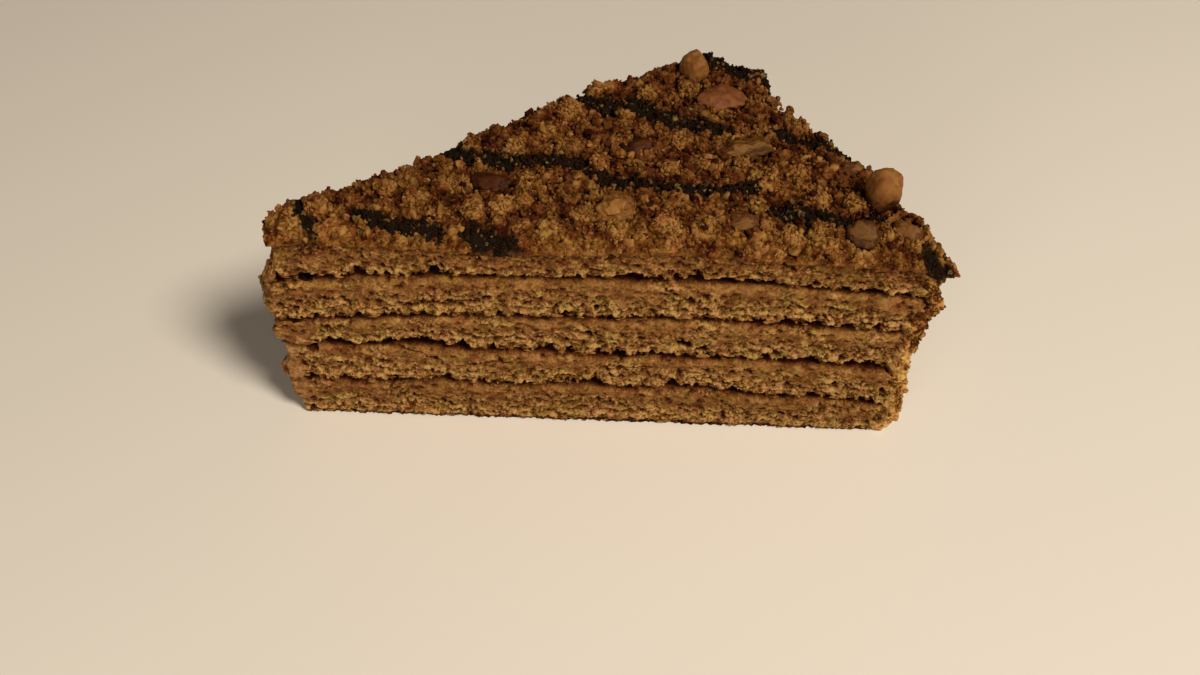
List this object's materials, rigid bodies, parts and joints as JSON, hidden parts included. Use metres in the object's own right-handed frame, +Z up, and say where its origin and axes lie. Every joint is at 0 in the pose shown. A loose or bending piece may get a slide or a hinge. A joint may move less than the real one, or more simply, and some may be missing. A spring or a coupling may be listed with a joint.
{
  "type": "walnut honey cake slice",
  "caption": "Wedge slice of layered walnut honey cake with sponge and cream sheets, crumb topping, dark drizzle and walnut pieces.",
  "frame": {"origin": "centre of the bounding box's bottom face, on the surface that the slice stands on", "axes": "+Z up; the long cut face looks towards -Y, with the tip of the slice at -X and the outer rim at +X"},
  "size_m": [0.116, 0.055, 0.0555],
  "materials": {
    "sponge": "dry porous baked crumb",
    "cream": "soft satin cream",
    "crumbs": "dry granular crumbs",
    "walnut": "waxy satin kernel",
    "chocolate": "matt granular dark icing"
  },
  "bodies": {
    "root": {"sponge_1": "sponge", "sponge_2": "sponge", "sponge_3": "sponge", "sponge_4": "sponge", "sponge_5": "sponge", "cream_1": "cream", "cream_2": "cream", "cream_3": "cream", "cream_4": "cream", "cream_5": "cream", "rim_coat": "crumbs", "crumb_topping": "crumbs", "walnut_1": "walnut", "walnut_2": "walnut", "walnut_3": "walnut", "walnut_4": "walnut", "walnut_5": "walnut", "walnut_6": "walnut", "walnut_7": "walnut", "walnut_8": "walnut", "walnut_9": "walnut", "walnut_10": "walnut", "walnut_11": "walnut"}
  },
  "joints": []
}
